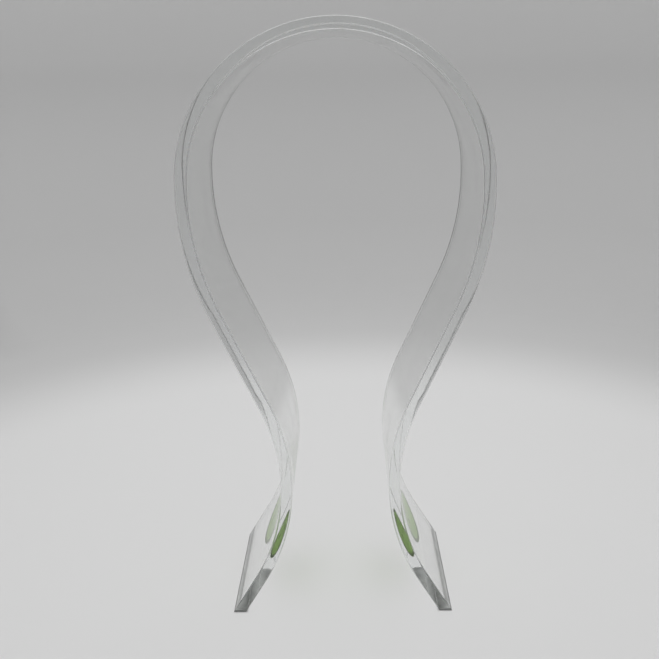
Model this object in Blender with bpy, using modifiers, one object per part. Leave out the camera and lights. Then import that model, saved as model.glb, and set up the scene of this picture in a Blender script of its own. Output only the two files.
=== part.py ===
"""Clear acrylic headphone stand: one strip of sheet, heat bent into an open omega on its two cut ends.

X runs across the stand, Y from its front edge to its back edge and Z up. The origin is on the table,
under the middle of the strip.
"""
import math

import bmesh
import bpy
from mathutils import Matrix, Vector

# The sheet
SHEET = 0.005
STRIP_WIDTH = 0.070
EDGE_ROUND = 0.0005

# The bends, measured on the middle of the sheet from the crown down to one foot
CROWN_RADIUS = 0.0624
CROWN_ARC = math.radians(86.5)
SHOULDER_RADIUS = 0.120
LEG_LEAN = math.radians(24.7)
LEG_RUN = 0.045
WAIST_RADIUS = 0.092
FOOT_FLARE = math.radians(31.2)
FOOT_RUN = 0.020

# The clear strip stuck under each cut end
PAD_THICK = 0.0008
PAD_INSET = 0.0001
PAD_ROUND = 0.0001

# The thin oval film on the inner face of each foot
FILM_THICK = 0.0003
FILM_LENGTH = 0.028
FILM_WIDTH = 0.040
FILM_RISE = 0.019

# Clearance between pieces that touch, and how far cutters run past what they cut
SEAT_GAP = 0.0003
CUT_MARGIN = 0.010

# Fineness of the bends and of the oval
ARC_STEP = math.radians(3.0)
OVAL_SIDES = 48
MERGE = 0.00001
SHARP_EDGE = math.radians(40.0)


def clear_scene():
    """Remove every object that the scene holds."""
    for obj in list(bpy.data.objects):
        bpy.data.objects.remove(obj, do_unlink=True)


def new_collection(name):
    """Make a collection and link it to the scene."""
    group = bpy.data.collections.new(name)
    bpy.context.scene.collection.children.link(group)
    return group


def new_material(name, color, roughness, transmission, alpha=1.0):
    """Make a plain Principled material."""
    material = bpy.data.materials.new(name)
    material.use_nodes = True
    shader = material.node_tree.nodes["Principled BSDF"]
    shader.inputs["Base Color"].default_value = (*color, 1.0)
    shader.inputs["Roughness"].default_value = roughness
    shader.inputs["Metallic"].default_value = 0.0
    shader.inputs["Transmission Weight"].default_value = transmission
    shader.inputs["Alpha"].default_value = alpha
    material.diffuse_color = (*color, alpha)
    return material


def add_bend(path, radius, turn):
    """Run the path on round an arc. A positive turn bends towards the table and the middle."""
    steps = max(2, round(abs(turn) / ARC_STEP))
    step = turn / steps
    chord = 2.0 * radius * math.sin(abs(step) / 2.0)
    for _ in range(steps):
        x, z, heading = path[-1]
        middle = heading + step / 2.0
        path.append((x + chord * math.cos(middle), z - chord * math.sin(middle), heading + step))


def add_run(path, length):
    """Run the path straight on."""
    x, z, heading = path[-1]
    path.append((x + length * math.cos(heading), z - length * math.sin(heading), heading))


def half_path():
    """Middle of the sheet from the crown to the right foot's cut end, as (x, z, heading below level)."""
    path = [(0.0, 0.0, 0.0)]
    add_bend(path, CROWN_RADIUS, CROWN_ARC)
    add_bend(path, SHOULDER_RADIUS, math.pi / 2.0 + LEG_LEAN - CROWN_ARC)
    add_run(path, LEG_RUN)
    waist_start = len(path) - 1
    add_bend(path, WAIST_RADIUS, -(LEG_LEAN + FOOT_FLARE))
    add_run(path, FOOT_RUN)
    lift = PAD_THICK + SEAT_GAP - path[-1][1]
    raised = [(x, z + lift, heading) for x, z, heading in path]
    return raised, waist_start


def offset_path(path, distance):
    """Shift a path outwards, each corner along its mitre so that the shifted runs stay parallel."""
    shifted = []
    for index, (x, z, heading) in enumerate(path):
        before = path[max(index - 1, 0)]
        after = path[min(index + 1, len(path) - 1)]
        run_in = Vector((x - before[0], z - before[1]))
        run_out = Vector((after[0] - x, after[1] - z))
        if run_in.length == 0.0:
            run_in = run_out
        if run_out.length == 0.0:
            run_out = run_in
        normal_in = Vector((-run_in.y, run_in.x)).normalized()
        normal_out = Vector((-run_out.y, run_out.x)).normalized()
        mitre = (normal_in + normal_out).normalized()
        reach = distance / mitre.dot(normal_in)
        shifted.append((x + reach * mitre.x, z + reach * mitre.y, heading))
    return shifted


def point_above_end(path, distance):
    """Point and heading at a distance along the path, counted back from its last point."""
    left = distance
    for nearer, farther in zip(path[::-1], path[-2::-1]):
        length = math.hypot(farther[0] - nearer[0], farther[1] - nearer[1])
        if left <= length:
            share = left / length
            return tuple(a + share * (b - a) for a, b in zip(nearer, farther))
        left -= length
    return path[0]


def mesh_object(name, bm, group):
    """Turn a bmesh into an object of a collection."""
    mesh = bpy.data.meshes.new(name)
    bm.to_mesh(mesh)
    bm.free()
    obj = bpy.data.objects.new(name, mesh)
    group.objects.link(obj)
    return obj


def ribbon(name, path, side, width, group):
    """Open surface: a path in the XZ plane drawn out along Y. The side is 1 for right and -1 for left."""
    bm = bmesh.new()
    verts = [bm.verts.new((side * x, -width / 2.0, z)) for x, z, _ in path]
    edges = [bm.edges.new(pair) for pair in zip(verts, verts[1:])]
    grown = bmesh.ops.extrude_edge_only(bm, edges=edges)["geom"]
    back = [item for item in grown if isinstance(item, bmesh.types.BMVert)]
    bmesh.ops.translate(bm, verts=back, vec=(0.0, width, 0.0))
    for face in bm.faces:
        face.smooth = True
    return mesh_object(name, bm, group)


def block(name, size, location, group):
    """Box of a given size round a location."""
    bm = bmesh.new()
    bmesh.ops.create_cube(bm, size=1.0, matrix=Matrix.Diagonal((*size, 1.0)))
    obj = mesh_object(name, bm, group)
    obj.location = location
    return obj


def thicken(obj, thickness):
    """Give an open surface a thickness, half to each side."""
    solid = obj.modifiers.new("Thickness", "SOLIDIFY")
    solid.thickness = thickness
    solid.offset = 0.0
    solid.use_even_offset = True


def combine(obj, cutter, operation):
    """Cut an object by, or down to, another."""
    boolean = obj.modifiers.new(cutter.name, "BOOLEAN")
    boolean.operation = operation
    boolean.solver = "EXACT"
    boolean.object = cutter


def soften(obj, width):
    """Round the sharp edges."""
    bevel = obj.modifiers.new("Edge round", "BEVEL")
    bevel.width = width
    bevel.segments = 2
    bevel.limit_method = "ANGLE"
    bevel.angle_limit = SHARP_EDGE


def as_cutter(obj):
    """Mark an object as a tool and not a piece."""
    obj.hide_render = True
    obj.display_type = "WIRE"
    return obj


def make_band(path, parts, cutters):
    """The bent strip, its feet run on through the table and then cut level."""
    longer = list(path)
    add_run(longer, SHEET)
    band = ribbon("bent_band", longer, 1.0, STRIP_WIDTH, parts)
    mirror = band.modifiers.new("Left half", "MIRROR")
    mirror.merge_threshold = MERGE
    thicken(band, SHEET)
    foot_x, foot_z, _ = path[-1]
    depth = SHEET + CUT_MARGIN
    size = (2.0 * (foot_x + CUT_MARGIN), STRIP_WIDTH + 2.0 * CUT_MARGIN, depth)
    floor = as_cutter(block("foot_cutter", size, (0.0, 0.0, foot_z - depth / 2.0), cutters))
    combine(band, floor, "DIFFERENCE")
    soften(band, EDGE_ROUND)
    return band


def make_pad(name, side, path, parts):
    """Clear strip under one cut end, set in from the cut's edges, its sides carrying on the foot's slant."""
    foot_x, foot_z, _ = path[-1]
    cut_width = SHEET / math.cos(FOOT_FLARE)
    slant = math.tan(FOOT_FLARE)
    size = (cut_width - 2.0 * PAD_INSET, STRIP_WIDTH - 2.0 * PAD_INSET, PAD_THICK)
    middle = foot_x + slant * (foot_z - PAD_THICK / 2.0)
    pad = block(name, size, (side * middle, 0.0, PAD_THICK / 2.0), parts)
    for vert in pad.data.vertices:
        vert.co.x -= side * slant * vert.co.z
    soften(pad, PAD_ROUND)
    return pad


def make_film(name, side, path, waist_start, parts, cutters):
    """Oval film that follows the inner face of one foot, trimmed from a strip of the same bends."""
    foot_path = path[waist_start:]
    depth = SHEET / 2.0 + SEAT_GAP + FILM_THICK / 2.0
    film = ribbon(name, offset_path(foot_path, -depth), side, FILM_WIDTH + CUT_MARGIN, parts)
    thicken(film, FILM_THICK)
    x, z, heading = point_above_end(foot_path, FILM_RISE + FILM_LENGTH / 2.0)
    normal = Vector((math.sin(heading), 0.0, math.cos(heading)))
    centre = Vector((x, 0.0, z)) - depth * normal
    bm = bmesh.new()
    bmesh.ops.create_cone(
        bm, cap_ends=True, segments=OVAL_SIDES, radius1=0.5, radius2=0.5, depth=2.0 * CUT_MARGIN)
    bmesh.ops.scale(bm, vec=(FILM_LENGTH, FILM_WIDTH, 1.0), verts=bm.verts)
    trim = as_cutter(mesh_object(name + "_trim", bm, cutters))
    trim.location = (side * centre.x, 0.0, centre.z)
    trim.rotation_euler = (0.0, side * heading, 0.0)
    combine(film, trim, "INTERSECT")
    return film


def main():
    clear_scene()
    parts = new_collection("headphone_stand")
    cutters = new_collection("headphone_stand_cutters")
    acrylic = new_material("clear_acrylic", (0.93, 0.95, 0.94), 0.04, 1.0)
    silicone = new_material("clear_silicone", (0.72, 0.74, 0.73), 0.45, 0.6)
    green = new_material("green_film", (0.30, 0.52, 0.12), 0.30, 0.0, 0.55)

    root = bpy.data.objects.new("stand_origin", None)
    parts.objects.link(root)
    path, waist_start = half_path()
    pieces = [(make_band(path, parts, cutters), acrylic)]
    for hand, side in (("left", -1.0), ("right", 1.0)):
        pieces.append((make_pad(hand + "_foot_pad", side, path, parts), silicone))
        pieces.append((make_film(hand + "_foot_film", side, path, waist_start, parts, cutters), green))
    for piece, material in pieces:
        piece.data.materials.append(material)
        piece.parent = root


main()
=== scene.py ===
"""Looks of a clear acrylic headphone stand.

One bent strip, two clear pads and two green films, on a pale studio floor. Lengths are in metres.
"""
import math

import bmesh
import bpy
from bpy.props import FloatProperty, FloatVectorProperty, IntProperty, PointerProperty
from bpy.types import Operator, Panel, PropertyGroup
from mathutils import Euler, Matrix, Vector


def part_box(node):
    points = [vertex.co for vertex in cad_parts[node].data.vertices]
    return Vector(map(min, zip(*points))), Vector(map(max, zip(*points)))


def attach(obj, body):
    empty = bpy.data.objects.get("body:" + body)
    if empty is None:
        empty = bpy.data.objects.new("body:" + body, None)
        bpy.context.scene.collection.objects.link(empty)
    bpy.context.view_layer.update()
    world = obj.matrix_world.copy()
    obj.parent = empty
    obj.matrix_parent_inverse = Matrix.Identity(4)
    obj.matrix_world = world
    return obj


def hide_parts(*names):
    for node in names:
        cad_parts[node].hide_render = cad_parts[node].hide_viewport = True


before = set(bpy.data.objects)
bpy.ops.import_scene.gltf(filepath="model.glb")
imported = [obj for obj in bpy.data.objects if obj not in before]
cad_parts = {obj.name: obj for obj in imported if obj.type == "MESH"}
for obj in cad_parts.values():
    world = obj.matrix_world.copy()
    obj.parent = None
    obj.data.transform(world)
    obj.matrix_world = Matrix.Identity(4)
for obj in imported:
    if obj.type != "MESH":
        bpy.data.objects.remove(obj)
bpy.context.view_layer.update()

bl_info = {
    "name": "Bent acrylic headphone stand",
    "version": (1, 0, 0),
    "blender": (4, 5, 0),
    "location": "3D View > Sidebar > Stand",
    "description": "Dresses the packed stand with acrylic, clear pads, green films and a studio",
    "category": "Object",
}

# Box of the whole part and of the pieces that are remade, from the packed frame
BAND_LOW, BAND_HIGH = (Vector(corner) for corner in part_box("bent_band"))
PAD_LOW, PAD_HIGH = (Vector(corner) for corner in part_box("right_foot_pad"))
FILM_LOW, FILM_HIGH = (Vector(corner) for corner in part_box("right_foot_film"))
BODY = "root"

# The photograph's side in pixels, the camera's sensor in millimetres and its nearest distance
PHOTO_SIDE = 659.0
SENSOR = 36.0
NEAR_CLIP = 0.01

# Distance under which two points are one
MERGE = 0.000002

# Angle up to which neighbouring faces are shaded as one
BAND_SMOOTH = math.radians(40.0)
PAD_SMOOTH = math.radians(35.0)
FILM_SMOOTH = math.radians(40.0)
SWEEP_SMOOTH = math.radians(30.0)

# Faces in each round
EDGE_ROUND_STEPS = 5
CUT_ROUND_STEPS = 4
PAD_ROUND_STEPS = 3

# How far up or down a normal points on a face that looks up, and on one that lies level
LOOKS_UP = 0.9
LIES_LEVEL = 0.999

# Shares of the edge round left where the face's finish ends, and where the rim's begins and is full
FACE_END = 0.9
RIM_START = 0.1
RIM_FULL = 0.02

# How far above the cut the sawn finish and the painted contact shade along the cut begin and are full
CUT_START = 0.0004
CUT_FULL = 0.0001
CONTACT_SHADE_START = 0.00015
CONTACT_SHADE_FULL = 0.00005

# Smears and hairline scratches: noise values from clean to marked, and the roughness that they add
SMEAR_RANGE = (0.52, 0.74)
SMEAR_ROUGHNESS = 0.03
HAIR_RANGE = (0.66, 0.72)
HAIR_ROUGHNESS = 0.02
HAIR_STRETCH = (60.0, 900.0, 60.0)
HAIR_TURN = (0.0, 0.35, 0.2)

# Middle of a noise's values, where most of them lie
NOISE_RANGE = (0.3, 0.7)

# Swing of the roughness along the rims and the sawn ends, and the saw lines' height against the rim's
RIM_SWING = (0.6, 1.4)
CUT_SWING = (0.8, 1.2)
SAW_HEIGHT = 3.0

# Shares of the oval where the film's border begins and is full, and the film's unevenness
BORDER_RANGE = (0.84, 0.89)
FILM_SHADE = (0.0, 0.25)
FILM_ROUGHNESS = (0.24, 0.38)

# Dust on the pads, and how unevenly and how near the outer edge the painted shade on the glue side
# fades to its palest
DUST_RANGE = (0.45, 0.75)
DUST_ROUGHNESS = 0.25
GLUE_RANGE = (0.35, 0.65)
GLUE_SHIFT = 0.001
GLUE_EDGE = 0.001

# The paper's tone by distance from the middle of the floor and by height, as ranges and shares. The
# wall's grey against the floor and its darker foot are painted shade.
NEAR_WALL = (0.27, 0.44)
NEAR_SHARE = 0.85
FAR_WALL = (0.44, 0.60)
FAR_SHARE = 0.15
LOW_WALL_SHADE = (0.07, 0.27)
FLAG_REACH = (0.45, 0.70)
CLOUD_SHARE = 0.03
PAPER_ROUGHNESS = 0.85
PAPER_SPECULAR = 0.15

# The sweep's sides, the faces in its cove and the inset of its floor
SWEEP_SIDES = 128
COVE_STEPS = 24
FLOOR_INSET = 0.03

# How far behind the stand the softbox hangs
SOFTBOX_BACK = 0.15

# Light runs along inside the sheet from edge to edge, so it needs more bounces than usual
BOUNCES = 40


class BandSizes(PropertyGroup):
    """The strip's section and bends, on the middle of the sheet from the crown down to one foot."""

    sheet: FloatProperty(
        name="Sheet", description="Thickness of the acrylic sheet",
        default=0.005, unit="LENGTH", subtype="DISTANCE")
    width: FloatProperty(
        name="Width", description="Width of the strip, front edge to back edge",
        default=BAND_HIGH.y - BAND_LOW.y, unit="LENGTH", subtype="DISTANCE")
    edge_round: FloatProperty(
        name="Edge round", description="Radius on the long edges of the strip",
        default=0.0005, unit="LENGTH", subtype="DISTANCE")
    cut_round: FloatProperty(
        name="Cut round", description="Radius round the cut end of a foot",
        default=0.00005, unit="LENGTH", subtype="DISTANCE")
    crown_radius: FloatProperty(
        name="Crown radius", description="Bend radius of the arch",
        default=0.0624, unit="LENGTH", subtype="DISTANCE")
    crown_arc: FloatProperty(
        name="Crown arc", description="Turn of the arch on one side",
        default=math.radians(86.5), unit="ROTATION", subtype="ANGLE")
    shoulder_radius: FloatProperty(
        name="Shoulder radius", description="Bend radius between arch and leg",
        default=0.120, unit="LENGTH", subtype="DISTANCE")
    leg_lean: FloatProperty(
        name="Leg lean", description="Lean of the straight leg towards the middle",
        default=math.radians(24.7), unit="ROTATION", subtype="ANGLE")
    leg_run: FloatProperty(
        name="Leg run", description="Length of the straight leg",
        default=0.045, unit="LENGTH", subtype="DISTANCE")
    waist_radius: FloatProperty(
        name="Waist radius", description="Bend radius of the waist",
        default=0.092, unit="LENGTH", subtype="DISTANCE")
    foot_flare: FloatProperty(
        name="Foot flare", description="Lean of the foot away from the middle",
        default=math.radians(31.2), unit="ROTATION", subtype="ANGLE")
    foot_run: FloatProperty(
        name="Foot run", description="Straight length of the foot, run on past the cut",
        default=0.026, unit="LENGTH", subtype="DISTANCE")
    arc_step: FloatProperty(
        name="Arc step", description="Turn between two sections of a bend",
        default=math.radians(0.5), unit="ROTATION", subtype="ANGLE")


class AcrylicLook(PropertyGroup):
    """Finish of the clear acrylic."""

    # Painted shade: the faces let through less light than the rims, standing for the darker
    # surroundings that the faces show
    face_shade_colour: FloatVectorProperty(
        name="Face colour", description="Share of the light that the faces let through",
        default=(0.885, 0.89, 0.885), size=3, min=0.0, max=1.0, subtype="COLOR")
    rim_colour: FloatVectorProperty(
        name="Rim colour", description="Share of the light that the front and back edges let through",
        default=(0.975, 0.98, 0.98), size=3, min=0.0, max=1.0, subtype="COLOR")
    # Painted contact shade: a dark colour on the acrylic right at the cut, standing for the shade where
    # the foot meets the floor
    cut_contact_shade_colour: FloatVectorProperty(
        name="Cut edge colour", description="Colour of the scuffed edge round a sawn end",
        default=(0.30, 0.31, 0.30), size=3, min=0.0, max=1.0, subtype="COLOR")
    tint: FloatVectorProperty(
        name="Tint", description="Colour left in light that has crossed the sheet edgewise",
        default=(0.885, 0.90, 0.89), size=3, min=0.0, max=1.0, subtype="COLOR")
    density: FloatProperty(
        name="Density", description="How fast the tint builds up per metre", default=6.0, min=0.0)
    index: FloatProperty(name="Index", description="Refractive index", default=1.49, min=1.0)
    face_roughness: FloatProperty(
        name="Face roughness", description="Roughness of the sheet's own faces",
        default=0.015, subtype="FACTOR")
    rim_roughness: FloatProperty(
        name="Rim roughness", description="Roughness of the polished front and back edges",
        default=0.07, subtype="FACTOR")
    round_roughness: FloatProperty(
        name="Round roughness", description="Roughness of the scraped rounds along the edges",
        default=0.28, subtype="FACTOR")
    cut_roughness: FloatProperty(
        name="Cut roughness", description="Roughness of the sawn ends",
        default=0.85, subtype="FACTOR")


class FilmLook(PropertyGroup):
    """Size and finish of the green films."""

    thickness: FloatProperty(
        name="Thickness", description="Thickness of the film",
        default=0.00015, unit="LENGTH", subtype="DISTANCE")
    length: FloatProperty(
        name="Length", description="Length of the film up the foot",
        default=0.0255, unit="LENGTH", subtype="DISTANCE")
    width: FloatProperty(
        name="Width", description="Width of the film across the strip",
        default=0.034, unit="LENGTH", subtype="DISTANCE")
    sink: FloatProperty(
        name="Sink", description="How far the film's glue side sits in the acrylic's face",
        default=0.00002, unit="LENGTH", subtype="DISTANCE")
    colour: FloatVectorProperty(
        name="Colour", description="Colour of the film's field",
        default=(0.42, 0.64, 0.17), size=3, min=0.0, max=1.0, subtype="COLOR")
    border_colour: FloatVectorProperty(
        name="Border colour", description="Colour of the film's border",
        default=(0.12, 0.19, 0.05), size=3, min=0.0, max=1.0, subtype="COLOR")
    index: FloatProperty(
        name="Index", description="Refractive index, next to none as the glue fills the film's grain",
        default=1.03, min=1.0)
    clearness: FloatProperty(
        name="Clearness", description="Share of the light that passes through and takes the colour",
        default=0.6, min=0.0, max=1.0, subtype="FACTOR")
    rings: IntProperty(
        name="Rings", description="Rings of faces between border and centre", default=20, min=4)
    sides: IntProperty(name="Sides", description="Sides of the oval", default=96, min=24)


class PadLook(PropertyGroup):
    """Finish of the clear pads."""

    # The silicone's grey is partly its own colour and partly painted contact shade along the foot's
    # bottom edge
    colour: FloatVectorProperty(
        name="Colour", description="Colour of the silicone",
        default=(0.41, 0.42, 0.41), size=3, min=0.0, max=1.0, subtype="COLOR")
    dust_colour: FloatVectorProperty(
        name="Dust colour", description="Colour of the dust on the silicone",
        default=(0.50, 0.50, 0.49), size=3, min=0.0, max=1.0, subtype="COLOR")
    # Painted shade on the glue side: dark along the foot's inner edge, which the foot keeps in shade,
    # pale along its outer edge
    glue_shaded_colour: FloatVectorProperty(
        name="Inner glue colour", description="Colour of the glue side along the foot's inner edge",
        default=(0.21, 0.22, 0.21), size=3, min=0.0, max=1.0, subtype="COLOR")
    glue_lit_colour: FloatVectorProperty(
        name="Outer glue colour", description="Colour of the glue side along the foot's outer edge",
        default=(0.72, 0.73, 0.72), size=3, min=0.0, max=1.0, subtype="COLOR")
    roughness: FloatProperty(
        name="Roughness", description="Roughness of the silicone", default=0.38, subtype="FACTOR")
    index: FloatProperty(name="Index", description="Refractive index", default=1.41, min=1.0)
    clearness: FloatProperty(
        name="Clearness", description="Share of the light that passes through the silicone",
        default=0.35, min=0.0, max=1.0, subtype="FACTOR")
    edge_round: FloatProperty(
        name="Edge round", description="Radius on the pad's edges",
        default=0.00004, unit="LENGTH", subtype="DISTANCE")
    inset: FloatProperty(
        name="Inset", description="How far the pad's sides stand back from the foot's faces",
        default=0.00005, unit="LENGTH", subtype="DISTANCE")
    sink: FloatProperty(
        name="Sink", description="How far the pad's glue side sits in the cut end above it",
        default=0.00002, unit="LENGTH", subtype="DISTANCE")


class StudioLook(PropertyGroup):
    """Floor, lights and camera."""

    floor_colour: FloatVectorProperty(
        name="Floor", description="Colour of the sweep under the stand",
        default=(0.70, 0.70, 0.70), size=3, min=0.0, max=1.0, subtype="COLOR")
    # The wall's grey against the pale floor, and its darker foot, are painted shade
    wall_colour: FloatVectorProperty(
        name="Wall", description="Colour of the sweep's wall",
        default=(0.60, 0.60, 0.60), size=3, min=0.0, max=1.0, subtype="COLOR")
    shaded_low_wall_colour: FloatVectorProperty(
        name="Low wall", description="Colour of the foot of the sweep's wall",
        default=(0.51, 0.51, 0.51), size=3, min=0.0, max=1.0, subtype="COLOR")
    flag_colour: FloatVectorProperty(
        name="Flags", description="Colour of the two dark flags that draw the acrylic's edges",
        default=(0.10, 0.10, 0.10), size=3, min=0.0, max=1.0, subtype="COLOR")
    front_colour: FloatVectorProperty(
        name="Front", description="Colour of the sweep's wall behind the camera",
        default=(0.24, 0.24, 0.24), size=3, min=0.0, max=1.0, subtype="COLOR")
    flag_start: FloatProperty(
        name="Flag start", description="Bearing from straight back at which a flag begins",
        default=math.radians(37.0), unit="ROTATION", subtype="ANGLE")
    flag_full: FloatProperty(
        name="Flag full", description="Bearing from straight back at which a flag is at its darkest",
        default=math.radians(54.0), unit="ROTATION", subtype="ANGLE")
    flag_end: FloatProperty(
        name="Flag end", description="Bearing from straight back at which a flag begins to fade",
        default=math.radians(72.0), unit="ROTATION", subtype="ANGLE")
    front_start: FloatProperty(
        name="Front start", description="Bearing from straight back at which the front wall begins",
        default=math.radians(130.0), unit="ROTATION", subtype="ANGLE")
    floor_radius: FloatProperty(
        name="Floor radius", description="Radius of the round sweep",
        default=0.75, unit="LENGTH", subtype="DISTANCE")
    wall_height: FloatProperty(
        name="Wall height", description="Height of the sweep's wall",
        default=0.80, unit="LENGTH", subtype="DISTANCE")
    cove: FloatProperty(
        name="Cove", description="Radius between floor and wall",
        default=0.25, unit="LENGTH", subtype="DISTANCE")
    key_power: FloatProperty(
        name="Key power", description="Power of the overhead softbox", default=8.0, unit="POWER")
    key_size: FloatProperty(
        name="Key size", description="Side of the overhead softbox",
        default=1.40, unit="LENGTH", subtype="DISTANCE")
    key_height: FloatProperty(
        name="Key height", description="Height of the overhead softbox",
        default=1.0, unit="LENGTH", subtype="DISTANCE")
    sky: FloatProperty(
        name="Sky", description="Strength of the grey surround", default=0.70, min=0.0)
    camera_place: FloatVectorProperty(
        name="Camera", description="Place of the camera",
        default=(0.00354, -0.36682, 0.24004), size=3, unit="LENGTH", subtype="TRANSLATION")
    camera_pitch: FloatProperty(
        name="Pitch", description="How far the camera looks down",
        default=math.radians(16.9), unit="ROTATION", subtype="ANGLE")
    camera_yaw: FloatProperty(
        name="Yaw", description="How far the camera looks to the right",
        default=math.radians(-1.2), unit="ROTATION", subtype="ANGLE")
    camera_roll: FloatProperty(
        name="Roll", description="Roll of the camera",
        default=math.radians(-1.22), unit="ROTATION", subtype="ANGLE")
    focal_pixels: FloatProperty(
        name="Focal length", description="Focal length in pixels of the photograph",
        default=820.0, subtype="PIXEL")


# Modelling helpers


def deselect_all():
    """Leave edit mode and deselect every object."""
    if bpy.context.object and bpy.context.object.mode != "OBJECT":
        bpy.ops.object.mode_set(mode="OBJECT")
    bpy.ops.object.select_all(action="DESELECT")


def active_as(name):
    """Name the object that was just added."""
    obj = bpy.context.view_layer.objects.active
    obj.name = name
    obj.data.name = name
    return obj


def make_active(obj):
    """Select one object alone."""
    deselect_all()
    obj.select_set(True)
    bpy.context.view_layer.objects.active = obj


def edit(obj, mode):
    """Open an object in edit mode with everything selected."""
    make_active(obj)
    bpy.ops.object.mode_set(mode="EDIT")
    bpy.ops.mesh.select_mode(type=mode)
    bpy.ops.mesh.select_all(action="SELECT")


def pick(obj, kind, test):
    """Select the edges or faces of the open mesh that pass a test."""
    bpy.ops.mesh.select_all(action="DESELECT")
    bm = bmesh.from_edit_mesh(obj.data)
    found = 0
    for item in getattr(bm, kind):
        if test(item):
            item.select_set(True)
            found += 1
    bm.select_flush_mode()
    bmesh.update_edit_mesh(obj.data)
    if found == 0:
        raise RuntimeError("nothing to select on " + obj.name)


def close_mesh(obj):
    """Merge doubles and point every face outwards."""
    edit(obj, "VERT")
    bpy.ops.mesh.remove_doubles(threshold=MERGE)
    bpy.ops.mesh.select_all(action="SELECT")
    bpy.ops.mesh.normals_make_consistent(inside=False)
    bpy.ops.object.mode_set(mode="OBJECT")


def apply_modifier(obj, kind, **settings):
    """Add a modifier, set it up and apply it."""
    make_active(obj)
    modifier = obj.modifiers.new(kind.title(), kind)
    for key, value in settings.items():
        setattr(modifier, key, value)
    bpy.ops.object.modifier_apply(modifier=modifier.name)


def apply_place(obj):
    """Put an object's place, turn and scale into its mesh."""
    make_active(obj)
    bpy.ops.object.transform_apply(location=True, rotation=True, scale=True)


def smooth(obj, angle):
    """Shade smooth, apart from edges sharper than an angle."""
    make_active(obj)
    bpy.ops.object.shade_smooth_by_angle(angle=angle)


def weigh_normals(obj):
    """Let the large faces lead the shading of the rounds beside them."""
    apply_modifier(obj, "WEIGHTED_NORMAL", mode="FACE_AREA", weight=100, keep_sharp=True)


def mirrored_copy(obj, name):
    """Copy a right-hand piece to the left, with its own mesh."""
    make_active(obj)
    bpy.ops.object.duplicate()
    copy = active_as(name)
    copy.scale.x = -1.0
    apply_place(copy)
    close_mesh(copy)
    return copy


def dress(piece, material, slot, *nodes):
    """Give a finished piece its material and its body, and hide the nodes it stands for. The slot is
    not used.
    """
    piece.data.materials.clear()
    piece.data.materials.append(material)
    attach(piece, BODY)
    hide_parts(*nodes)


# The route of the strip


def half_route(sizes):
    """Bends (turn, centre) and runs (None, move) from the crown to past the right foot's cut."""
    place = Vector((0.0, 0.0, BAND_HIGH.z - sizes.sheet / 2.0))
    heading = 0.0
    plan = [
        (sizes.crown_radius, sizes.crown_arc),
        (sizes.shoulder_radius, math.pi / 2.0 + sizes.leg_lean - sizes.crown_arc),
        (None, sizes.leg_run),
        (sizes.waist_radius, -(sizes.leg_lean + sizes.foot_flare)),
        (None, sizes.foot_run),
    ]
    route = []
    for radius, amount in plan:
        if radius is None:
            move = Vector((math.cos(heading), 0.0, -math.sin(heading))) * amount
            route.append((None, move))
            place = place + move
            continue
        side = math.copysign(radius, amount)
        centre = place - side * Vector((math.sin(heading), 0.0, math.cos(heading)))
        heading += amount
        place = centre + side * Vector((math.sin(heading), 0.0, math.cos(heading)))
        route.append((amount, centre))
    return route


# Materials


def opaque(colour):
    """A colour with full alpha."""
    return (*colour, 1.0)


class Tree:
    """Short way to lay out a node tree."""

    def __init__(self, name):
        self.material = bpy.data.materials.new(name)
        self.material.use_nodes = True
        self.nodes = self.material.node_tree.nodes
        self.links = self.material.node_tree.links
        self.nodes.clear()
        self.output = self.nodes.new("ShaderNodeOutputMaterial")
        self.place = self.add("ShaderNodeTexCoord").outputs["Object"]

    def add(self, kind, inputs=None, **settings):
        """Add a node, set its properties and fill or link its inputs."""
        node = self.nodes.new(kind)
        for key, value in settings.items():
            setattr(node, key, value)
        for key, value in (inputs or {}).items():
            if isinstance(value, bpy.types.NodeSocket):
                self.links.new(value, node.inputs[key])
            else:
                node.inputs[key].default_value = value
        return node

    def axes(self):
        """Split the place into X, Y and Z."""
        return self.add("ShaderNodeSeparateXYZ", {0: self.place}).outputs

    def math(self, operation, a, b=0.0, clamp=False):
        """Add a Math node."""
        return self.add("ShaderNodeMath", {0: a, 1: b}, operation=operation, use_clamp=clamp).outputs[0]

    def ramp(self, value, low, high, start=0.0, end=1.0, kind="LINEAR"):
        """Map a value from one range to another, clamped."""
        inputs = {"Value": value, "From Min": low, "From Max": high, "To Min": start, "To Max": end}
        return self.add("ShaderNodeMapRange", inputs, clamp=True, interpolation_type=kind).outputs[0]

    def mix(self, share, a, b):
        """Mix two numbers."""
        return self.add("ShaderNodeMix", {"Factor": share, 2: a, 3: b}, data_type="FLOAT").outputs[0]

    def mix_colour(self, share, a, b):
        """Mix two colours."""
        return self.add("ShaderNodeMix", {"Factor": share, 6: a, 7: b}, data_type="RGBA").outputs[2]

    def noise(self, place, scale, detail, roughness=0.5):
        """Add a noise whose scale counts its waves in a metre."""
        inputs = {"Vector": place, "Scale": scale, "Detail": detail, "Roughness": roughness}
        return self.add("ShaderNodeTexNoise", inputs).outputs["Fac"]

    def bump(self, height, strength, distance, normal=None):
        """Turn a height into a normal, on top of another one if there is one."""
        inputs = {"Height": height, "Strength": strength, "Distance": distance}
        if normal is not None:
            inputs["Normal"] = normal
        return self.add("ShaderNodeBump", inputs).outputs["Normal"]

    def surface(self, colour, roughness, normal=None):
        """Add the surface shader and put it out."""
        inputs = {"Base Color": colour, "Roughness": roughness}
        if normal is not None:
            inputs["Normal"] = normal
        shader = self.add("ShaderNodeBsdfPrincipled", inputs)
        self.links.new(shader.outputs[0], self.output.inputs["Surface"])
        return shader


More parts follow.
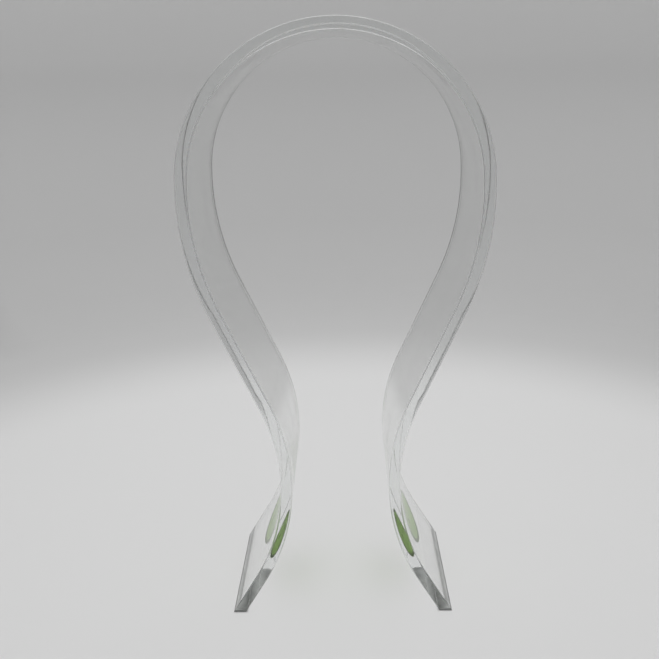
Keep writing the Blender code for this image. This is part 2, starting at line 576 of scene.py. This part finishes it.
def acrylic_material(look, sizes):
    """Clear cast acrylic: clean faces with faint handling marks and painted shade, polished rims, and
    sawn ends with painted contact shade along the cut.
    """
    tree = Tree("clear_cast_acrylic")
    axes = tree.axes()
    half = sizes.width / 2.0
    across = tree.math("ABSOLUTE", axes["Y"])
    edge = tree.ramp(across, half - sizes.edge_round, half - FACE_END * sizes.edge_round)
    rim = tree.ramp(across, half - RIM_START * sizes.edge_round, half - RIM_FULL * sizes.edge_round)
    cut = tree.ramp(axes["Z"], BAND_LOW.z + CUT_START, BAND_LOW.z + CUT_FULL)
    contact_shade = tree.ramp(axes["Z"], BAND_LOW.z + CONTACT_SHADE_START, BAND_LOW.z + CONTACT_SHADE_FULL)

    # Handling marks: soft smears and fine hairline scratches
    smear = tree.ramp(tree.noise(tree.place, scale=38.0, detail=5.0, roughness=0.6), *SMEAR_RANGE)
    stretched = tree.add("ShaderNodeMapping", {
        "Vector": tree.place, "Scale": HAIR_STRETCH, "Rotation": HAIR_TURN}).outputs[0]
    hair = tree.ramp(tree.noise(stretched, scale=1.0, detail=3.0, roughness=0.7), *HAIR_RANGE)
    face = tree.math("ADD", look.face_roughness, tree.math("MULTIPLY", smear, SMEAR_ROUGHNESS))
    face = tree.math("ADD", face, tree.math("MULTIPLY", hair, HAIR_ROUGHNESS))

    # Polishing left fine waves on the rims, and the saw left its lines on the ends
    grain = tree.noise(tree.place, scale=420.0, detail=4.0, roughness=0.6)
    rim_rough = tree.math("MULTIPLY", tree.ramp(grain, *NOISE_RANGE, *RIM_SWING), look.rim_roughness)
    saw = tree.add("ShaderNodeTexWave", {
        "Vector": tree.place, "Scale": 900.0, "Distortion": 2.0, "Detail": 2.0},
        bands_direction="Y").outputs["Fac"]
    cut_rough = tree.math("MULTIPLY", tree.ramp(saw, 0.0, 1.0, *CUT_SWING), look.cut_roughness)
    # The faces' darker colour is painted shade; the rims stay near clear
    colour = tree.mix_colour(edge, opaque(look.face_shade_colour), opaque(look.rim_colour))
    # Painted contact shade darkens the acrylic within a fraction of a millimetre of the cut
    colour = tree.mix_colour(contact_shade, colour, opaque(look.cut_contact_shade_colour))
    rough = tree.mix(edge, face, tree.mix(rim, look.round_roughness, rim_rough))
    rough = tree.mix(cut, rough, cut_rough)

    # The bends left a slow ripple in the faces
    ripple = tree.noise(tree.place, scale=24.0, detail=1.0, roughness=0.4)
    ripple = tree.bump(ripple, strength=0.15, distance=0.0006)
    saw_lines = tree.math("MULTIPLY", saw, tree.math("MULTIPLY", cut, SAW_HEIGHT))
    fine = tree.math("ADD", tree.math("MULTIPLY", grain, rim), saw_lines)
    normal = tree.bump(fine, strength=0.2, distance=0.00005, normal=ripple)

    shader = tree.surface(colour, rough, normal)
    shader.inputs["IOR"].default_value = look.index
    shader.inputs["Transmission Weight"].default_value = 1.0
    inner = tree.add("ShaderNodeVolumeAbsorption", {
        "Color": opaque(look.tint), "Density": look.density})
    tree.links.new(inner.outputs[0], tree.output.inputs["Volume"])
    return tree.material


def film_material(look):
    """See-through green vinyl with a narrow darker border."""
    tree = Tree("green_vinyl_film")
    share = tree.add("ShaderNodeAttribute", attribute_name="rim_share").outputs["Fac"]
    border = tree.ramp(share, *BORDER_RANGE)
    cloud = tree.noise(tree.place, scale=160.0, detail=4.0, roughness=0.55)
    shade = tree.ramp(cloud, *NOISE_RANGE, *FILM_SHADE)
    field = tree.mix_colour(shade, opaque(look.colour), opaque(look.border_colour))
    colour = tree.mix_colour(border, field, opaque(look.border_colour))
    rough = tree.ramp(cloud, *NOISE_RANGE, *FILM_ROUGHNESS)
    grain = tree.noise(tree.place, scale=2600.0, detail=2.0)
    normal = tree.bump(grain, strength=0.12, distance=0.00003)
    shader = tree.surface(colour, rough, normal)
    shader.inputs["IOR"].default_value = look.index
    shader.inputs["Transmission Weight"].default_value = look.clearness
    return tree.material


def pad_material(look):
    """Clear satin silicone with dust along its sides, its grey partly painted contact shade, and
    painted shade on its glue side.
    """
    tree = Tree("clear_satin_silicone")
    axes = tree.axes()
    dust = tree.ramp(tree.noise(tree.place, scale=700.0, detail=5.0, roughness=0.65), *DUST_RANGE)
    # The silicone's grey is partly painted contact shade
    colour = tree.mix_colour(dust, opaque(look.colour), opaque(look.dust_colour))

    # The glue side, seen through the acrylic, carries painted shade: dark along the foot's inner edge,
    # which the foot keeps in shade, paling unevenly towards the outer edge
    patch = tree.noise(tree.place, scale=150.0, detail=4.0)
    patch = tree.ramp(patch, *GLUE_RANGE, -GLUE_SHIFT, GLUE_SHIFT)
    outward = tree.math("ADD", tree.math("ABSOLUTE", axes["X"]), patch)
    outward = tree.ramp(outward, PAD_LOW.x, PAD_HIGH.x - GLUE_EDGE)
    glue = tree.mix_colour(outward, opaque(look.glue_shaded_colour), opaque(look.glue_lit_colour))
    inside = tree.ramp(axes["Z"], BAND_LOW.z - look.sink, BAND_LOW.z)
    colour = tree.mix_colour(inside, colour, glue)

    rough = tree.math("ADD", look.roughness, tree.math("MULTIPLY", dust, DUST_ROUGHNESS))
    grain = tree.noise(tree.place, scale=3000.0, detail=2.0)
    normal = tree.bump(grain, strength=0.2, distance=0.00003)
    shader = tree.surface(colour, rough, normal)
    shader.inputs["IOR"].default_value = look.index
    shader.inputs["Transmission Weight"].default_value = look.clearness
    return tree.material


def sweep_material(look):
    """Matt studio paper: a pale floor, a back wall greyed and darkened at its foot as painted shade,
    two dark flags and a grey front wall.
    """
    tree = Tree("studio_paper")
    axes = tree.axes()
    flat = tree.add("ShaderNodeCombineXYZ", {"X": axes["X"], "Y": axes["Y"]}).outputs[0]
    reach = tree.add("ShaderNodeVectorMath", {0: flat}, operation="LENGTH").outputs["Value"]
    near = tree.ramp(reach, *NEAR_WALL, end=NEAR_SHARE, kind="SMOOTHSTEP")
    far = tree.ramp(reach, *FAR_WALL, end=FAR_SHARE)
    cloud = tree.math("MULTIPLY", tree.noise(tree.place, scale=6.0, detail=3.0), CLOUD_SHARE)
    share = tree.math("ADD", tree.math("ADD", near, far), cloud, clamp=True)
    # Painted shade: the wall is greyer than the floor and darker again near its foot
    rise = tree.ramp(axes["Z"], *LOW_WALL_SHADE)
    wall = tree.mix_colour(rise, opaque(look.shaded_low_wall_colour), opaque(look.wall_colour))
    colour = tree.mix_colour(share, opaque(look.floor_colour), wall)

    # Flags and front wall, by the bearing from straight back
    bearing = tree.math("ABSOLUTE", tree.math("ARCTAN2", axes["X"], axes["Y"]))
    begun = tree.ramp(bearing, look.flag_start, look.flag_full)
    ended = tree.ramp(bearing, look.flag_end, look.front_start)
    dark = tree.mix_colour(ended, opaque(look.flag_colour), opaque(look.front_colour))
    begun = tree.math("MULTIPLY", begun, tree.ramp(reach, *FLAG_REACH))
    colour = tree.mix_colour(begun, colour, dark)
    shader = tree.surface(colour, PAPER_ROUGHNESS)
    shader.inputs["Specular IOR Level"].default_value = PAPER_SPECULAR
    return tree.material


# Operators, one for each piece or pair of pieces and one for the stage


class STAND_OT_bent_band(Operator):
    """Sweep the sheet's rounded section down one side, trim the foot level and mirror it"""

    bl_idname = "stand.bent_band"
    bl_label = "Bent band"

    def execute(self, context):
        sizes = context.scene.stand_band
        look = context.scene.stand_acrylic
        deselect_all()
        bpy.ops.mesh.primitive_plane_add(
            size=1.0, location=(0.0, 0.0, BAND_HIGH.z - sizes.sheet / 2.0),
            rotation=(0.0, math.pi / 2.0, 0.0))
        band = active_as("polished_band")
        band.scale = (sizes.sheet, sizes.width, 1.0)
        apply_place(band)

        edit(band, "VERT")
        bpy.ops.mesh.bevel(
            offset=sizes.edge_round, segments=EDGE_ROUND_STEPS, affect="VERTICES")
        bpy.ops.mesh.delete(type="ONLY_FACE")
        bpy.ops.mesh.select_all(action="SELECT")
        for turn, place in half_route(sizes):
            if turn is None:
                bpy.ops.mesh.extrude_region_move(TRANSFORM_OT_translate={"value": place})
            else:
                steps = max(2, round(abs(turn) / sizes.arc_step))
                bpy.ops.mesh.spin(steps=steps, angle=-turn, center=place, axis=(0.0, 1.0, 0.0))

        bpy.ops.mesh.select_all(action="SELECT")
        bpy.ops.mesh.bisect(
            plane_co=(0.0, 0.0, BAND_LOW.z), plane_no=(0.0, 0.0, 1.0), use_fill=True, clear_inner=True)
        bpy.ops.mesh.select_mode(type="EDGE")
        pick(band, "edges",
             lambda edge: all(abs(vert.co.z - BAND_LOW.z) < MERGE for vert in edge.verts))
        bpy.ops.mesh.bevel(
            offset=sizes.cut_round, segments=CUT_ROUND_STEPS, affect="EDGES", clamp_overlap=True)
        bpy.ops.object.mode_set(mode="OBJECT")

        apply_modifier(band, "MIRROR", merge_threshold=MERGE)
        close_mesh(band)
        smooth(band, BAND_SMOOTH)
        weigh_normals(band)
        dress(band, acrylic_material(look, sizes), "clear_acrylic", "bent_band")

        # Clear sheet leaves next to no shadow on the paper, so its shade is left out
        band.visible_shadow = False
        band.visible_diffuse = False
        return {"FINISHED"}


class STAND_OT_foot_pads(Operator):
    """Carry each foot's slant on to the table with a thin strip of clear silicone"""

    bl_idname = "stand.foot_pads"
    bl_label = "Foot pads"

    def execute(self, context):
        look = context.scene.stand_pad
        sizes = context.scene.stand_band
        top = BAND_LOW.z + look.sink
        slant = math.tan(sizes.foot_flare)
        width = sizes.sheet / math.cos(sizes.foot_flare) - 2.0 * look.inset
        middle = (PAD_LOW.x + PAD_HIGH.x + slant * (PAD_HIGH.z - PAD_LOW.z)) / 2.0
        deselect_all()
        bpy.ops.mesh.primitive_cube_add(size=1.0, location=(middle, 0.0, top / 2.0))
        right = active_as("right_clear_pad")
        right.scale = (width, PAD_HIGH.y - PAD_LOW.y, top)
        apply_place(right)
        edit(right, "FACE")
        pick(right, "faces", lambda face: face.normal.z > LOOKS_UP)
        bpy.ops.transform.translate(value=(-slant * top, 0.0, 0.0))
        bpy.ops.mesh.select_all(action="SELECT")
        bpy.ops.mesh.bevel(offset=look.edge_round, segments=PAD_ROUND_STEPS, affect="EDGES")
        bpy.ops.object.mode_set(mode="OBJECT")
        close_mesh(right)
        left = mirrored_copy(right, "left_clear_pad")
        material = pad_material(look)
        for side, pad in (("right", right), ("left", left)):
            smooth(pad, PAD_SMOOTH)
            weigh_normals(pad)
            dress(pad, material, "clear_silicone", side + "_foot_pad")
        return {"FINISHED"}


class STAND_OT_foot_films(Operator):
    """Lay an oval of green film on the inner face of each foot"""

    bl_idname = "stand.foot_films"
    bl_label = "Foot films"

    def execute(self, context):
        look = context.scene.stand_film
        band = bpy.data.objects.get("polished_band")
        if band is None:
            raise RuntimeError("the films need the band to lie on")
        span = FILM_HIGH - FILM_LOW
        lean = math.atan2(span.z, span.x)
        deselect_all()
        bpy.ops.mesh.primitive_circle_add(vertices=look.sides, radius=0.5, fill_type="NOTHING")
        right = active_as("right_green_film")
        edit(right, "VERT")
        for ring in range(look.rings - 1):
            shrink = (look.rings - ring - 1.0) / (look.rings - ring)
            bpy.ops.mesh.extrude_region_move()
            bpy.ops.transform.resize(
                value=(shrink, shrink, 1.0), center_override=(0.0, 0.0, 0.0))
        bpy.ops.mesh.edge_face_add()
        bpy.ops.object.mode_set(mode="OBJECT")

        # How far out on the oval each point lies, for the border
        share = right.data.attributes.new("rim_share", "FLOAT", "POINT")
        for vert, item in zip(right.data.vertices, share.data):
            item.value = 2.0 * vert.co.length

        right.scale = (look.length, look.width, 1.0)
        right.rotation_euler = (0.0, lean, 0.0)
        right.location = (FILM_LOW + FILM_HIGH) / 2.0
        apply_place(right)
        apply_modifier(
            right, "SHRINKWRAP", target=band, wrap_method="NEAREST_SURFACEPOINT",
            wrap_mode="OUTSIDE_SURFACE", offset=-look.sink)
        edit(right, "VERT")
        bpy.ops.mesh.normals_make_consistent(inside=False)
        bpy.ops.object.mode_set(mode="OBJECT")
        away = Vector((-span.z, 0.0, -span.x))
        if sum((face.normal for face in right.data.polygons), Vector()).dot(away) < 0.0:
            right.data.flip_normals()
        apply_modifier(right, "SOLIDIFY", thickness=look.thickness, offset=1.0)
        smooth(right, FILM_SMOOTH)
        left = mirrored_copy(right, "left_green_film")
        material = film_material(look)
        for side, film in (("right", right), ("left", left)):
            dress(film, material, "green_film", side + "_foot_film")
            film.visible_shadow = False
        return {"FINISHED"}


def add_sweep(look):
    """Round paper sweep: a floor that runs up into a wall all round."""
    deselect_all()
    bpy.ops.mesh.primitive_cylinder_add(
        vertices=SWEEP_SIDES, radius=look.floor_radius, depth=look.wall_height,
        location=(0.0, 0.0, look.wall_height / 2.0))
    sweep = active_as("paper_sweep")
    apply_place(sweep)
    edit(sweep, "FACE")
    pick(sweep, "faces", lambda face: face.normal.z > LOOKS_UP)
    bpy.ops.mesh.delete(type="FACE")
    bpy.ops.mesh.select_mode(type="EDGE")
    pick(sweep, "edges", lambda edge: all(vert.co.z < MERGE for vert in edge.verts))
    bpy.ops.mesh.bevel(offset=look.cove, segments=COVE_STEPS, affect="EDGES")
    bpy.ops.mesh.select_mode(type="FACE")
    pick(sweep, "faces", lambda face: face.normal.z < -LIES_LEVEL)
    bpy.ops.mesh.inset(thickness=FLOOR_INSET)
    bpy.ops.mesh.select_all(action="SELECT")
    bpy.ops.mesh.normals_make_consistent(inside=True)
    bpy.ops.object.mode_set(mode="OBJECT")
    smooth(sweep, SWEEP_SMOOTH)
    sweep.data.materials.clear()
    sweep.data.materials.append(sweep_material(look))


def add_light(scene, look):
    """Overhead softbox and a grey surround."""
    deselect_all()
    bpy.ops.object.light_add(type="AREA", location=(0.0, SOFTBOX_BACK, look.key_height))
    key = active_as("overhead_softbox")
    key.data.shape = "SQUARE"
    key.data.size = look.key_size
    key.data.energy = look.key_power

    world = bpy.data.worlds.new("grey_surround")
    world.use_nodes = True
    ground = world.node_tree.nodes["Background"]
    ground.inputs["Color"].default_value = (1.0, 1.0, 1.0, 1.0)
    ground.inputs["Strength"].default_value = look.sky
    scene.world = world


def add_camera(scene, look):
    """Camera at the photograph's viewing angle."""
    deselect_all()
    bpy.ops.object.camera_add(location=look.camera_place)
    camera = active_as("front_camera")
    turn = Euler((math.pi / 2.0 - look.camera_pitch, 0.0, -look.camera_yaw)).to_matrix()
    turn = turn @ Matrix.Rotation(look.camera_roll, 3, "Z")
    camera.rotation_euler = turn.to_euler()
    camera.data.sensor_width = SENSOR
    camera.data.lens = look.focal_pixels / PHOTO_SIDE * SENSOR
    camera.data.clip_start = NEAR_CLIP
    scene.camera = camera


class STAND_OT_studio(Operator):
    """Set up the round paper sweep, the soft light and the camera"""

    bl_idname = "stand.studio"
    bl_label = "Studio"

    def execute(self, context):
        look = context.scene.stand_studio
        scene = context.scene
        add_sweep(look)
        add_light(scene, look)
        add_camera(scene, look)
        scene.view_settings.view_transform = "Standard"
        scene.cycles.max_bounces = BOUNCES
        scene.cycles.glossy_bounces = BOUNCES
        scene.cycles.transmission_bounces = BOUNCES
        return {"FINISHED"}


class STAND_PT_sidebar(Panel):
    """The stand's pieces and studio"""

    bl_idname = "STAND_PT_sidebar"
    bl_label = "Headphone stand"
    bl_space_type = "VIEW_3D"
    bl_region_type = "UI"
    bl_category = "Stand"

    def draw(self, context):
        layout = self.layout
        for operator in OPERATORS:
            layout.operator(operator.bl_idname)
        for name, group in GROUPS.items():
            box = layout.box()
            box.label(text=group.__doc__)
            values = getattr(context.scene, name)
            for key in group.__annotations__:
                box.prop(values, key)


GROUPS = {
    "stand_band": BandSizes,
    "stand_acrylic": AcrylicLook,
    "stand_film": FilmLook,
    "stand_pad": PadLook,
    "stand_studio": StudioLook,
}
OPERATORS = (STAND_OT_bent_band, STAND_OT_foot_pads, STAND_OT_foot_films, STAND_OT_studio)


def register():
    for group in GROUPS.values():
        bpy.utils.register_class(group)
    for name, group in GROUPS.items():
        setattr(bpy.types.Scene, name, PointerProperty(type=group))
    for operator in OPERATORS:
        bpy.utils.register_class(operator)
    bpy.utils.register_class(STAND_PT_sidebar)


def unregister():
    bpy.utils.unregister_class(STAND_PT_sidebar)
    for operator in reversed(OPERATORS):
        bpy.utils.unregister_class(operator)
    for name in GROUPS:
        delattr(bpy.types.Scene, name)
    for group in reversed(list(GROUPS.values())):
        bpy.utils.unregister_class(group)


def main():
    register()
    bpy.ops.stand.bent_band()
    bpy.ops.stand.foot_pads()
    bpy.ops.stand.foot_films()
    bpy.ops.stand.studio()


if __name__ == "__main__":
    main()
